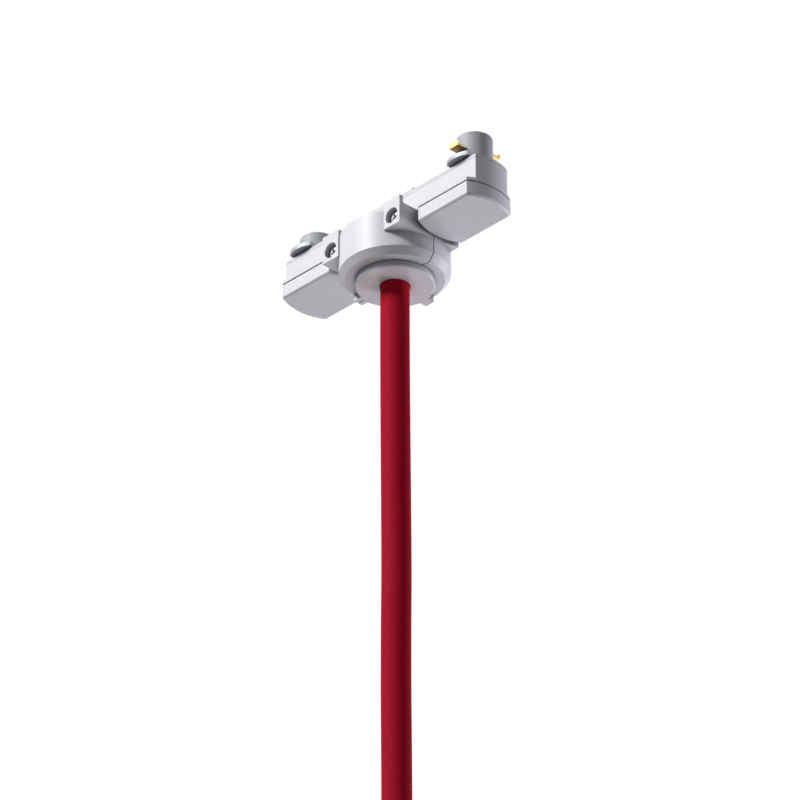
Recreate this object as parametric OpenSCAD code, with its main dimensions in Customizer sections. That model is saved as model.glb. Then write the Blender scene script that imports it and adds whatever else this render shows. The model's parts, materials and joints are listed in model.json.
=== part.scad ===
// Track light adapter with a pendant cord.
// The origin is on the collar's axis, level with the tops of the ear lips.
// X runs along the body, -Y is the front and +Z points up, away from the cord.

/* [Collar] */
// Outside diameter of the round clamp collar
hub_d = 52; // [48:0.5:58]
// Height of the collar
hub_h = 22.4; // [22:0.1:27]
// Height of the bevel round the collar's lower edge
bevel_h = 3.3; // [2:0.1:5]
// Inset of the bevel round the collar's lower edge
bevel_w = 2.9; // [1:0.1:3.5]
// Gap between the two clamped halves
split_gap = 0.4; // [0.2:0.1:0.6]
// Thickness of the roof that hangs on the body's spigot
roof_t = 3.3; // [3:0.1:4.5]

/* [Screw ears] */
// Width of each ear along the body
ear_w = 10.8; // [10:0.1:12]
// Height of each ear
ear_h = 11.2; // [10:0.1:14]
// Reach of the front ears from the split
ear_front = 21.8; // [19:0.1:24]
// Reach of the rear ears from the split
ear_rear = 13.8; // [13:0.1:19]
// Stand-out of the ears past the round of the collar
ear_proud = 0.1; // [0.1:0.1:0.6]
// Flare of the rear ears, which follow the round of the levers
ear_flare = 2.2; // [1:0.1:4]
// Height of the lip on top of each ear
lip_h = 3.6; // [2.5:0.1:4.5]
// Thickness of that lip
lip_t = 2.4; // [1.5:0.1:4]

/* [Collar screws] */
// Thread diameter of the collar screws
screw_d = 4; // [3:0.5:4.5]
// Diameter of the screw heads
head_d = 7.2; // [6.4:0.1:7.6]
// Height of the screw heads
head_h = 2.6; // [2:0.1:3]
// Depth of the counterbore for the heads
head_sink = 5.4; // [3.2:0.1:6]
// Width of the nuts across the flats
nut_af = 7; // [6.5:0.1:8]
// Thickness of the nuts
nut_h = 3.2; // [2.4:0.1:4]

/* [Cord cap] */
// Diameter of the cap's lower face
cap_d = 37.2; // [35:0.1:42]
// Height of the cap below the collar
cap_h = 3.4; // [2.8:0.1:5]
// Diameter of the boss that turns in the collar
cap_boss_d = 28; // [24:0.5:30]
// Diameter of the flange that holds the cap in the collar
cap_flange_d = 34; // [32:0.5:38]
// Thickness of that flange
cap_flange_t = 2.5; // [1.5:0.1:3]
// Width of the finger lugs
lug_w = 5.2; // [4:0.1:7]
// Reach of the finger lugs from the cord's axis
lug_reach = 22.3; // [21.5:0.1:25]
// Shift of the left lug to the front
lug_shift = 2.6; // [0:0.1:3]
// Width and depth of the index groove under the left lug
lug_groove = 0.5; // [0.3:0.1:1]

/* [Levers] */
// Distance of each lever's pivot from the collar's axis
pivot_x = 53.5; // [51:0.5:58]
// Length of each arm past its lever's pivot
arm_tail = 12.8; // [11:0.1:18]
// Width of the levers and the flanges above them
lever_w = 28; // [24:0.1:32]
// Height of the levers
lever_h = 7.4; // [5:0.1:9]
// Bevel along the levers' lower edges
lever_bevel = 0.9; // [0.5:0.1:2]
// Gap between the levers and the flanges above them
lever_gap = 0.65; // [0.3:0.05:0.8]
// Diameter of the lever shafts
shaft_d = 9; // [8:0.1:10]
// Side of the square tongue on top of each shaft
tongue_w = 6; // [5.2:0.1:6.4]
// Height of that tongue
tongue_h = 4.8; // [3:0.1:5.5]

/* [Body] */
// Width of the body
neck_w = 20.2; // [19:0.1:23]
// Height of the body above the ear lips
body_top = 9.4; // [8.8:0.1:12]
// Wall thickness of the body
wall = 1.6; // [1.2:0.1:1.8]
// Thickness of the body's floor
floor_t = 2; // [1.5:0.1:3]
// Thickness of the flanges over the levers
flange_t = 1.7; // [1.5:0.1:4]
// Step from the collar's top down to the flanges
flange_step = 0.4; // [0.4:0.1:1.5]
// Diameter of the bosses round the lever shafts
boss_d = 14; // [13:0.1:15]
// Thickness of the cover
cover_t = 1.8; // [1.5:0.1:2.4]
// Length of the raised hump on the cover
hump_l = 40; // [36:0.5:46]
// Width of that hump
hump_w = 16; // [15:0.1:17]
// Height of that hump
hump_h = 4; // [3:0.1:6]
// Bevel along the hump
hump_bevel = 1.5; // [0.5:0.1:2]
// Distance of the cover screws from the middle
cover_screw_x = 28; // [27:0.5:32]

/* [Spigot and grip] */
// Diameter of the spigot that the collar clamps
spigot_d = 20; // [18:0.5:22]
// Diameter of the spigot's bore for the leads
spigot_bore = 12; // [11:0.5:14]
// Diameter of the flange at the spigot's end
spigot_flange_d = 26; // [24:0.5:30]
// Thickness of that flange
spigot_flange_t = 3; // [2:0.1:3.5]
// Outside diameter of the slotted cord grip
grip_d = 22; // [19:0.5:25]
// Height of the cord grip
grip_h = 9; // [7:0.1:9.5]
// Width of the slots in the cord grip
grip_slot = 1.2; // [0.8:0.1:2]

/* [Heads and contacts] */
// Diameter of the heads on the lever shafts
rotor_d = 17; // [15:0.5:18.5]
// Height of the contact head above its cam
contact_head_h = 13.5; // [13:0.1:16]
// Height of the plain head above its cam
plain_head_h = 8; // [7:0.1:12]
// Diameter of the keyed foot below each head
foot_d = 13; // [12:0.1:14]
// Width of that foot across its flats
foot_w = 10; // [9:0.1:10.5]
// Reach of the lock cams from the pivot
cam_reach = 13.2; // [11.5:0.1:14]
// Width of the lock cams
cam_w = 14; // [12.5:0.1:16]
// Thickness of the lock cams
cam_t = 2.2; // [1.5:0.1:3]
// Height of the lock cams above the body
cam_lift = 0.8; // [0.5:0.1:1.5]
// Reach of the contact blades from the pivot
contact_reach = 13.4; // [11:0.1:14.5]
// Width of the contact blades
contact_w = 6; // [4:0.1:8]
// Thickness of the contact blades and strips
contact_t = 0.8; // [0.5:0.1:1.2]
// Height of the turned-up tips of the blades
contact_tip = 2.4; // [1.5:0.1:4]
// Height of the line blade above the cam
line_z = 4; // [3.5:0.1:5]
// Height of the neutral blade above the cam
neutral_z = 8; // [7.5:0.1:9]

/* [Terminals] */
// Length of the terminal block
block_l = 26; // [22:0.5:30]
// Width of the terminal block
block_w = 13; // [11:0.1:14]
// Height of the terminal block
block_h = 6.5; // [5.5:0.1:7.5]
// Diameter of the cord's inner leads
lead_d = 2.6; // [2:0.1:2.8]
// Distance of the leads from the cord's axis
lead_ring = 3.4; // [3:0.1:3.8]
// Height of the leads inside the block
lead_in = 3; // [2:0.1:3.5]
// Width of the earth wipers
wiper_w = 8; // [6:0.1:10]
// Reach of the earth wipers past the body's side
wiper_reach = 1.4; // [1:0.1:1.7]

/* [Cord and lamp end] */
// Diameter of the braided cord
cord_d = 13.7; // [12:0.1:14.5]
// Outside diameter of the lamp-end sleeve
sleeve_d = 20; // [19:0.5:24]
// Length of the sleeve above the cord's end
sleeve_up = 16; // [12:0.5:24]
// Outside diameter of the threaded nipple
nipple_d = 10; // [8:0.1:11]
// Diameter of the nipple's shank in the sleeve
shank_d = 9; // [8.4:0.1:9.6]
// Bore of the nipple
nipple_bore = 7; // [5:0.1:7]
// Length of the nipple's shank
nipple_in = 8; // [6:0.5:12]
// Length of the nipple's thread below the sleeve
nipple_out = 10; // [8:0.5:16]
// Diameter of the sleeve's set screw
set_screw_d = 3; // [2:0.1:4]

/* [Fits] */
// Gap between pieces that move past each other
clear = 0.3; // [0.2:0.05:0.5]
// Radial clearance of a turning fit
run = 0.05; // [0.02:0.01:0.1]
// Clearance of pieces that are assembled and then stay put
slip = 0.1; // [0.05:0.05:0.2]
// Radial clearance of a screw in its hole
screw_play = 0.2; // [0.1:0.05:0.3]
// Small break on the round edges
edge = 0.5; // [0.2:0.1:0.8]

/* [Hidden] */
$fn = 64;
over = 1; // length by which a cut runs past a face

// Levels of the collar, from the tops of the ear lips down
hub_r = hub_d / 2;
collar_top = -lip_h;
hub_bottom = collar_top - hub_h;
roof_z = collar_top - roof_t;
spigot_end = roof_z - slip - spigot_flange_t;
grip_top = spigot_end - slip;
grip_bottom = grip_top - grip_h;
cap_flange_top = grip_bottom - clear;
cap_flange_bottom = cap_flange_top - cap_flange_t;
pocket_bottom = cap_flange_bottom - clear;
cap_top = hub_bottom - clear;
cap_bottom = hub_bottom - cap_h;
cord_hole_r = cord_d / 2 + clear;

// Ears and their screws
ear_x = hub_r + ear_proud;
screw_x = ear_x - ear_w / 2;
screw_z = collar_top - ear_h / 2;
head_seat_y = -ear_front + head_sink;
nut_sink = nut_h + over;
nut_seat_y = ear_rear - nut_sink;
nut_corner_d = nut_af / cos(30);

// Arms: each lens-shaped outline is where two equal circles and a strip overlap
arm_r = pivot_x - ear_x - clear;
arm_end = pivot_x + arm_tail;
end_cx = arm_end - arm_r;
flange_top = collar_top - flange_step;
flange_bottom = flange_top - flange_t;
lever_top = flange_bottom - lever_gap;
lever_bottom = lever_top - lever_h;

// Body levels
floor_top = collar_top + floor_t;
neck_top = body_top - cover_t;
hump_top = body_top + hump_h;
cavity_w = neck_w - 2 * wall;
small_screw_d = 2.5;
small_head_d = 4.6;
small_head_h = 1.6;
cover_screw_len = 8;
post_d = small_screw_d + 2 * wall;
washer_t = 0.6;
washer_land = 1.2;
washer_d = shaft_d + 2 * clear + 2 * washer_land;

// Heads on the lever shafts
foot_bottom = body_top + clear;
cam_bottom = body_top + cam_lift;
cam_top = cam_bottom + cam_t;
head_bottom = cam_top + slip;
rotor_screw_d = 3;
rotor_screw_in = 5;
rotor_head_d = 5.6;
rotor_head_h = 2;
blade_root = rotor_screw_d / 2 + 1;

// Terminal pieces
lead_top = floor_top + lead_in;
strip_h = 4;
strip_tab_in = 4;
strip_start = block_l / 2 - strip_tab_in;
strip_end = pivot_x + shaft_d / 2;
wiper_t = 0.5;
wiper_rise = 3;
wiper_z = floor_top + wiper_rise;
lead_angles = [90, 210, 330];

// Route of the cord's middle, from the grip down to the lamp end
cord_route = [
    [0, 0, grip_top - clear],
    [0, 0, -30],
    [0, 0, -60],
    [0.1, 0.1, -90],
    [0.2, 0.3, -120],
    [0.4, 0.4, -150],
    [0.5, 0.5, -180],
    [0.4, 0.4, -210],
    [0.4, 0.4, -240],
    [0.5, 0.6, -270],
    [0.6, 0.7, -300],
    [0.6, 0.7, -318],
];
cord_sides = 12;
cord_end = cord_route[len(cord_route) - 1];
sleeve_bottom = cord_end.z - nipple_in;

// Colours
white_paint = "#f2f2f4";
white_moulding = "#ececf0";
grey_moulding = "#c9cbd0";
steel = "#9a9da3";
zinc = "#b4b7bb";
brass_colour = "#c9a24a";
red_braid = "#a0142c";

// Draws its children as they are and once more on the other side of the collar
module both_sides() {
    children();
    mirror([1, 0, 0]) children();
}

// Box from a low corner to a high corner
module block(low, high) {
    translate(low) cube(high - low);
}

// Upright cylinder between two levels
module post(d, z0, z1) {
    translate([0, 0, z0]) cylinder(d = d, h = z1 - z0);
}

// Pan-head screw with a cross recess: the head stands on z = 0, the shank points down
module cross_screw(d, shank, top_d, top_h) {
    recess_w = top_d / 7;
    recess_l = top_d * 0.6;
    recess_deep = top_h * 0.6;
    difference() {
        union() {
            post(d, -shank, top_h / 2);
            rotate_extrude() polygon([
                [0, 0], [top_d / 2, 0], [top_d / 2, top_h * 0.5], [top_d * 0.42, top_h * 0.8],
                [top_d * 0.25, top_h], [0, top_h],
            ]);
        }
        for (turn = [0, 90])
            rotate(turn + 20)
                translate([-recess_l / 2, -recess_w / 2, top_h - recess_deep])
                    cube([recess_l, recess_w, top_h]);
    }
}

// Long outline of the body with round ends, drawn in by an inset
module neck_block(inset, z0, z1) {
    half_w = neck_w / 2 - inset;
    intersection() {
        block([-arm_end, -half_w, z0], [arm_end, half_w, z1]);
        union() {
            block([-end_cx, -half_w, z0], [end_cx, half_w, z1]);
            both_sides()
                translate([end_cx, 0, 0]) post(2 * (arm_r - inset), z0, z1);
        }
    }
}

// Lens-shaped plate of the right arm
module lens_plate(z0, z1, w) {
    intersection() {
        translate([pivot_x, 0, 0]) post(2 * arm_r, z0, z1);
        translate([end_cx, 0, 0]) post(2 * arm_r, z0, z1);
        block([0, -w / 2, z0], [pivot_x + arm_r, w / 2, z1]);
    }
}

// Disc of the lever's round ends, bevelled below
module bevelled_disc() {
    rotate_extrude() polygon([
        [0, lever_bottom], [arm_r - lever_bevel, lever_bottom], [arm_r, lever_bottom + lever_bevel],
        [arm_r, lever_top], [0, lever_top],
    ]);
}

// Straight bar of the lever's long sides, bevelled below
module bevelled_bar() {
    half_w = lever_w / 2;
    rotate([90, 0, 90]) linear_extrude(pivot_x + arm_r) polygon([
        [-half_w, lever_top], [-half_w, lever_bottom + lever_bevel],
        [-half_w + lever_bevel, lever_bottom], [half_w - lever_bevel, lever_bottom],
        [half_w, lever_bottom + lever_bevel], [half_w, lever_top],
    ]);
}

// Right lever: the pad, its shaft through the body and the tongue that drives the head
module lever() {
    color(white_paint) difference() {
        union() {
            intersection() {
                translate([pivot_x, 0, 0]) bevelled_disc();
                translate([end_cx, 0, 0]) bevelled_disc();
                bevelled_bar();
            }
            translate([pivot_x, 0, 0]) {
                post(shaft_d, lever_top - lever_bevel, body_top);
                block([-tongue_w / 2, -tongue_w / 2, body_top - over],
                      [tongue_w / 2, tongue_w / 2, body_top + tongue_h]);
            }
        }
        translate([pivot_x, 0, 0])
            post(rotor_screw_d + 2 * run, body_top - rotor_screw_in - slip, body_top + tongue_h + over);
    }
}

// Keyed foot of a head, grown by a gap for the matching hole
module foot(z0, z1, gap) {
    intersection() {
        post(foot_d + 2 * gap, z0, z1);
        block([-foot_w / 2 - gap, -foot_d, z0], [foot_w / 2 + gap, foot_d, z1]);
    }
}

// Contact blade of the right head, pointing to the front, at a height above the cam
module blade(height) {
    z0 = head_bottom + height;
    translate([pivot_x, 0, 0]) union() {
        block([-contact_w / 2, -contact_reach, z0], [contact_w / 2, -blade_root, z0 + contact_t]);
        block([-contact_w / 2, -contact_reach, z0],
              [contact_w / 2, contact_t - contact_reach, z0 + contact_tip]);
    }
}

// Slot in the right head for a blade that points to the front
module blade_slot(height) {
    z0 = head_bottom + height;
    block([-contact_w / 2 - slip, -contact_reach, z0 - slip / 2],
          [contact_w / 2 + slip, slip - blade_root, z0 + contact_t + slip / 2]);
}

// Head of the right lever without its blade slots
module rotor(height) {
    top = head_bottom + height;
    socket = tongue_w / 2 + slip;
    difference() {
        union() {
            foot(foot_bottom, head_bottom + over, 0);
            rotate_extrude() polygon([
                [0, head_bottom], [rotor_d / 2, head_bottom], [rotor_d / 2, top - edge],
                [rotor_d / 2 - edge, top], [0, top],
            ]);
        }
        block([-socket, -socket, foot_bottom - over], [socket, socket, body_top + tongue_h + slip]);
        post(rotor_screw_d + 2 * screw_play, foot_bottom, top);
        post(rotor_head_d + 2 * clear, top - rotor_head_h, top + over);
    }
}

// Lock cam of the right lever
module lock_cam() {
    color(zinc) translate([pivot_x, 0, 0]) difference() {
        intersection() {
            post(2 * cam_reach, cam_bottom, cam_top);
            block([-cam_w / 2, -cam_reach, cam_bottom], [cam_w / 2, cam_reach, cam_top]);
        }
        foot(cam_bottom - over, cam_top + over, slip);
    }
}

// Screw that ties a head of this height to the right lever
module rotor_screw(height) {
    seat = head_bottom + height - rotor_head_h;
    color(steel) translate([pivot_x, 0, seat])
        cross_screw(rotor_screw_d, seat - body_top + rotor_screw_in, rotor_head_d, rotor_head_h);
}

// Both ears of one half: side is -1 at the front and 1 at the rear
module ears(side, reach) {
    both_sides() {
        block([ear_x - ear_w, min(0, side * reach), collar_top - ear_h],
              [ear_x, max(0, side * reach), collar_top]);
        block([ear_x - ear_w, min(side * reach, side * (reach - lip_t)), collar_top - ear_h],
              [ear_x, max(side * reach, side * (reach - lip_t)), 0]);
    }
}

// Flare of the right rear ear, hollowed to clear the lever's round
module ear_wing() {
    difference() {
        union() {
            block([screw_x, split_gap, collar_top - ear_h], [ear_x + ear_flare, ear_rear, collar_top]);
            block([screw_x, ear_rear - lip_t, collar_top - ear_h], [ear_x + ear_flare, ear_rear, 0]);
        }
        translate([pivot_x, 0, 0]) post(2 * (arm_r + 2 * clear), collar_top - ear_h - over, over);
    }
}

// Round of the collar, with the bevelled lower edge
module collar_round() {
    rotate_extrude() polygon([
        [0, collar_top], [hub_r - edge, collar_top], [hub_r, collar_top - edge],
        [hub_r, hub_bottom + bevel_h], [hub_r - bevel_w, hub_bottom], [0, hub_bottom],
    ]);
}

// Stepped bore of the collar: spigot, its flange, the cord grip, the cap's flange and boss
module collar_bore() {
    neck_r = spigot_d / 2 + slip;
    flange_r = spigot_flange_d / 2 + slip;
    grip_r = grip_d / 2 + slip;
    pocket_r = cap_flange_d / 2 + clear;
    boss_r = cap_boss_d / 2 + run;
    rotate_extrude() polygon([
        [0, over], [neck_r, over], [neck_r, roof_z], [flange_r, roof_z], [flange_r, grip_top],
        [grip_r, grip_top], [grip_r, grip_bottom], [pocket_r, grip_bottom],
        [pocket_r, pocket_bottom], [boss_r, pocket_bottom], [boss_r, hub_bottom - over],
        [0, hub_bottom - over],
    ]);
}

// One half of the collar, without its screw holes
module collar_half(side, reach) {
    near = split_gap / 2;
    far = hub_r + reach;
    intersection() {
        difference() {
            union() {
                collar_round();
                ears(side, reach);
            }
            collar_bore();
        }
        block([-2 * hub_r, min(side * near, side * far), hub_bottom - over],
              [2 * hub_r, max(side * near, side * far), over]);
    }
}

// Cylinder along Y on both screw axes, between two places
module screw_holes(d, y0, y1) {
    both_sides()
        translate([screw_x, y1, screw_z]) rotate([90, 0, 0]) cylinder(d = d, h = y1 - y0);
}

// Finger lug of the cap, pointing to -X, with its middle at this y
module lug(y) {
    block([-lug_reach, y - lug_w / 2, cap_bottom], [-cap_boss_d / 2, y + lug_w / 2, cap_top]);
}

// Cross-section of an earth wiper on the +Y side, in Y and Z
function wiper_section() =
    let (side = neck_w / 2, tip = side + wiper_reach, t = wiper_t, rise = 1.6)
    [
        [block_w / 2, 0], [side + t, 0], [tip, rise], [tip, 2 * rise], [side + t, 3 * rise],
        [side, 3 * rise], [side, 3 * rise - t], [tip - t, 2 * rise - t / 2],
        [tip - t, rise + t / 2], [side, t], [block_w / 2, t],
    ];

// Brass strip from the terminals to the contact head, along the wall on the +Y side
module contact_strip() {
    wall_y = cavity_w / 2;
    color(brass_colour) union() {
        block([strip_start, wall_y - contact_t, floor_top], [strip_end, wall_y, floor_top + strip_h]);
        block([strip_start, block_w / 2, floor_top],
              [strip_start + contact_t, wall_y, floor_top + strip_h]);
    }
}

// Place of a lead on its ring
module at_lead(index) {
    angle = lead_angles[index];
    translate([lead_ring * cos(angle), lead_ring * sin(angle), 0]) children();
}

// Inner lead of the cord, from the cord's end up into the terminal block
module lead(index, colour) {
    color(colour) at_lead(index) post(lead_d, cord_route[0].z, lead_top);
}

// Corner of the cord's tube: one ring of corners for each point of the route
function cord_corner(point, side) =
    let (angle = 360 * side / cord_sides)
    [point.x + cord_d / 2 * cos(angle), point.y + cord_d / 2 * sin(angle), point.z];

module body_shell() {
    color(white_paint) difference() {
        union() {
            difference() {
                neck_block(0, collar_top, neck_top);
                neck_block(wall, floor_top, neck_top + over);
            }
            both_sides() {
                lens_plate(flange_bottom, flange_top, lever_w);
                lens_plate(flange_bottom, floor_top, neck_w);
                translate([pivot_x, 0, 0]) post(boss_d, collar_top, neck_top);
                translate([cover_screw_x, 0, 0]) post(post_d, collar_top, neck_top);
            }
            post(spigot_d, spigot_end, floor_top);
            post(spigot_flange_d, spigot_end, spigot_end + spigot_flange_t);
        }
        post(spigot_bore, spigot_end - over, floor_top + over);
        both_sides() {
            translate([pivot_x, 0, 0]) post(shaft_d + 2 * run, flange_bottom - over, neck_top + over);
            translate([cover_screw_x, 0, 0])
                post(small_screw_d + 2 * run, body_top - cover_screw_len - slip, neck_top + over);
        }
        block([-wiper_w / 2 - slip, -neck_w, wiper_z - slip],
              [wiper_w / 2 + slip, neck_w, wiper_z + wiper_t + slip]);
    }
}

module body_cover() {
    half_w = hump_w / 2;
    color(white_moulding) difference() {
        union() {
            neck_block(0, neck_top, body_top);
            rotate([90, 0, 90]) linear_extrude(hump_l, center = true) polygon([
                [-half_w, neck_top], [half_w, neck_top], [half_w, hump_top - hump_bevel],
                [half_w - hump_bevel, hump_top], [hump_bevel - half_w, hump_top],
                [-half_w, hump_top - hump_bevel],
            ]);
        }
        block([wall - hump_l / 2, wall - half_w, neck_top - over],
              [hump_l / 2 - wall, half_w - wall, hump_top - wall]);
        both_sides() {
            translate([pivot_x, 0, 0]) {
                post(shaft_d + 2 * clear, neck_top - over, body_top + over);
                post(washer_d + 2 * slip, body_top - washer_t, body_top + over);
            }
            translate([cover_screw_x, 0, 0])
                post(small_screw_d + 2 * screw_play, neck_top - over, body_top + over);
        }
    }
}

module cover_screws() {
    color(steel) both_sides()
        translate([cover_screw_x, 0, body_top])
            cross_screw(small_screw_d, cover_screw_len, small_head_d, small_head_h);
}

module earth_contacts() {
    color(brass_colour) for (turn = [0, 180])
        rotate(turn) translate([-wiper_w / 2, 0, wiper_z])
            rotate([90, 0, 90]) linear_extrude(wiper_w) polygon(wiper_section());
}

module terminal_block() {
    top = floor_top + block_h;
    color(grey_moulding) difference() {
        block([-block_l / 2, -block_w / 2, floor_top], [block_l / 2, block_w / 2, top]);
        for (index = [0:2])
            at_lead(index) {
                post(lead_d + 2 * slip, floor_top - over, lead_top + slip);
                post(small_screw_d + 2 * run, lead_top, top + over);
                post(small_head_d + 2 * slip, top - small_head_h, top + over);
            }
    }
}

module terminal_screws() {
    seat = floor_top + block_h - small_head_h;
    color(steel) for (index = [0:2])
        at_lead(index) translate([0, 0, seat])
            cross_screw(small_screw_d, seat - lead_top - slip, small_head_d, small_head_h);
}

module line_strip() {
    mirror([0, 1, 0]) contact_strip();
}

module neutral_strip() {
    contact_strip();
}

module line_lead() {
    lead(1, "#6b3f22");
}

module neutral_lead() {
    lead(2, "#2f5fae");
}

module earth_lead() {
    lead(0, "#8fae2f");
}

module lever_washers() {
    color(steel) both_sides()
        translate([pivot_x, 0, 0]) difference() {
            post(washer_d, body_top - washer_t, body_top);
            post(shaft_d + 2 * clear, body_top - washer_t - over, body_top + over);
        }
}

module collar_front() {
    color(white_paint) difference() {
        collar_half(-1, ear_front);
        screw_holes(screw_d + 2 * screw_play, -ear_front - over, over);
        screw_holes(head_d + 2 * clear, -ear_front - over, head_seat_y);
    }
}

module collar_rear() {
    color(white_paint) difference() {
        union() {
            collar_half(1, ear_rear);
            both_sides() ear_wing();
        }
        screw_holes(screw_d + 2 * screw_play, -over, ear_rear + over);
        screw_holes(nut_corner_d + 2 * slip, nut_seat_y, ear_rear + over, $fn = 6);
    }
}

module collar_screws() {
    color(steel) both_sides()
        translate([screw_x, head_seat_y, screw_z]) rotate([90, 0, 0])
            cross_screw(screw_d, nut_seat_y + nut_h - head_seat_y, head_d, head_h);
}

module collar_nuts() {
    color(steel) difference() {
        screw_holes(nut_corner_d, nut_seat_y, nut_seat_y + nut_h, $fn = 6);
        screw_holes(screw_d + 2 * run, nut_seat_y - over, nut_seat_y + nut_h + over);
    }
}

module cord_grip() {
    slot_top = grip_top - grip_h / 4;
    color(grey_moulding) difference() {
        post(grip_d, grip_bottom, grip_top);
        post(cord_d, grip_bottom - over, grip_top + over);
        for (turn = [0, 90])
            rotate(turn + 45)
                block([-grip_d, -grip_slot / 2, grip_bottom - over], [grip_d, grip_slot / 2, slot_top]);
    }
}

module cord_cap() {
    color(white_paint) difference() {
        union() {
            rotate_extrude() polygon([
                [0, cap_bottom], [cap_d / 2 - edge, cap_bottom], [cap_d / 2, cap_bottom + edge],
                [cap_d / 2, cap_top], [cap_boss_d / 2, cap_top], [cap_boss_d / 2, cap_flange_bottom],
                [cap_flange_d / 2, cap_flange_bottom], [cap_flange_d / 2, cap_flange_top],
                [0, cap_flange_top],
            ]);
            lug(-lug_shift);
            rotate(-90) lug(0);
        }
        post(2 * cord_hole_r, cap_bottom - over, cap_flange_top + over);
        block([-lug_reach - over, -lug_shift - lug_groove / 2, cap_bottom - over],
              [-cap_d / 2, -lug_shift + lug_groove / 2, cap_bottom + lug_groove]);
    }
}

module lever_left() {
    mirror([1, 0, 0]) lever();
}

module lever_right() {
    lever();
}

module rotor_left() {
    color(grey_moulding) translate([-pivot_x, 0, 0]) rotor(plain_head_h);
}

module rotor_right() {
    color(grey_moulding) translate([pivot_x, 0, 0]) difference() {
        rotor(contact_head_h);
        blade_slot(line_z);
        mirror([0, 1, 0]) blade_slot(neutral_z);
    }
}

module lock_cam_left() {
    mirror([1, 0, 0]) lock_cam();
}

module lock_cam_right() {
    lock_cam();
}

module line_contact() {
    color(brass_colour) blade(line_z);
}

module neutral_contact() {
    color(brass_colour) mirror([0, 1, 0]) blade(neutral_z);
}

module rotor_screw_left() {
    mirror([1, 0, 0]) rotor_screw(plain_head_h);
}

module rotor_screw_right() {
    rotor_screw(contact_head_h);
}

module cord() {
    last = len(cord_route) - 1;
    n = cord_sides;
    corners = [for (point = cord_route) for (side = [0:n - 1]) cord_corner(point, side)];
    walls = [
        for (ring = [0:last - 1]) for (side = [0:n - 1])
            let (next = (side + 1) % n)
            [ring * n + side, ring * n + next, (ring + 1) * n + next, (ring + 1) * n + side]
    ];
    top_face = [for (side = [n - 1:-1:0]) side];
    end_face = [for (side = [0:n - 1]) last * n + side];
    color(red_braid) polyhedron(corners, concat([top_face], walls, [end_face]));
}

module end_sleeve() {
    top = cord_end.z + sleeve_up;
    mouth_r = cord_d / 2 + wall;
    color(white_paint) translate([cord_end.x, cord_end.y, 0]) difference() {
        rotate_extrude() polygon([
            [0, sleeve_bottom], [sleeve_d / 2 - edge, sleeve_bottom], [sleeve_d / 2, sleeve_bottom + edge],
            [sleeve_d / 2, cord_end.z], [mouth_r, top], [0, top],
        ]);
        post(cord_d, cord_end.z, top + over);
        post(shank_d + 2 * run, sleeve_bottom - over, cord_end.z + over);
        translate([0, 0, (sleeve_bottom + cord_end.z) / 2])
            rotate([0, 90, 0]) cylinder(d = set_screw_d + 2 * run, h = sleeve_d);
    }
}

module end_nipple() {
    color(brass_colour) translate([cord_end.x, cord_end.y, 0]) difference() {
        union() {
            post(nipple_d, sleeve_bottom - nipple_out, sleeve_bottom);
            post(shank_d, sleeve_bottom - over, cord_end.z);
        }
        post(nipple_bore, sleeve_bottom - nipple_out - over, cord_end.z + over);
    }
}

module end_screw() {
    inner = shank_d / 2 + run;
    outer = sleeve_d / 2 - edge;
    slot_w = set_screw_d / 5;
    color(steel) translate([cord_end.x, cord_end.y, (sleeve_bottom + cord_end.z) / 2]) difference() {
        translate([inner, 0, 0]) rotate([0, 90, 0]) cylinder(d = set_screw_d, h = outer - inner);
        block([outer - edge, -set_screw_d, -slot_w / 2], [outer + over, set_screw_d, slot_w / 2]);
    }
}

body_shell();
body_cover();
cover_screws();
earth_contacts();
terminal_block();
terminal_screws();
line_strip();
neutral_strip();
line_lead();
neutral_lead();
earth_lead();
lever_washers();
collar_front();
collar_rear();
collar_screws();
collar_nuts();
cord_grip();
cord_cap();
lever_left();
rotor_left();
lock_cam_left();
rotor_screw_left();
lever_right();
rotor_right();
lock_cam_right();
line_contact();
neutral_contact();
rotor_screw_right();
cord();
end_sleeve();
end_nipple();
end_screw();
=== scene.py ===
import json
import math

import bmesh
import bpy
from bpy.props import FloatProperty, FloatVectorProperty, IntProperty, PointerProperty
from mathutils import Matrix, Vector


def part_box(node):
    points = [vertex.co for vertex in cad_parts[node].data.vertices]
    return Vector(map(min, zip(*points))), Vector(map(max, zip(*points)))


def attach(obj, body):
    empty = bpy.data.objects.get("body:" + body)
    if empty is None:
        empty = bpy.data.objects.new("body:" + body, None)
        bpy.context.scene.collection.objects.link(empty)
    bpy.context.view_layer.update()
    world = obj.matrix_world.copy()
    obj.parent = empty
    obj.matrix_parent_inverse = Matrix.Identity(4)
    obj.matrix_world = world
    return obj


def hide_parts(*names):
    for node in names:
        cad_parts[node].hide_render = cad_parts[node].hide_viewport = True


bl_info = {
    "name": "Track light adapter",
    "version": (1, 0, 0),
    "blender": (4, 5, 0),
    "location": "3D View > Sidebar > Adapter",
    "description": "Dresses the packed track light adapter and its braided pendant cord",
    "category": "Object",
}

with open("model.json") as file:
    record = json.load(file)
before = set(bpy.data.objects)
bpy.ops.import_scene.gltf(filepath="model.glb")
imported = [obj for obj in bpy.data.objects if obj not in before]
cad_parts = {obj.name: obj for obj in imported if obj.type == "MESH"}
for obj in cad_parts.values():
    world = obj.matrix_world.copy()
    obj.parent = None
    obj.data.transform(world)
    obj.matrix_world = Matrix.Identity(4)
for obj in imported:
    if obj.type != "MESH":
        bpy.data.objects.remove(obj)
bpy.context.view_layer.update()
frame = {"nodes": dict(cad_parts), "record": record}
MM = 0.001
PHOTO_PX = 800

BODY = {node: body for body, nodes in frame["record"]["behaviour"]["bodies"].items() for node in nodes}
SLOT = {row["node"]: row["material_slot"] for row in frame["record"]["subparts"]}

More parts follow.
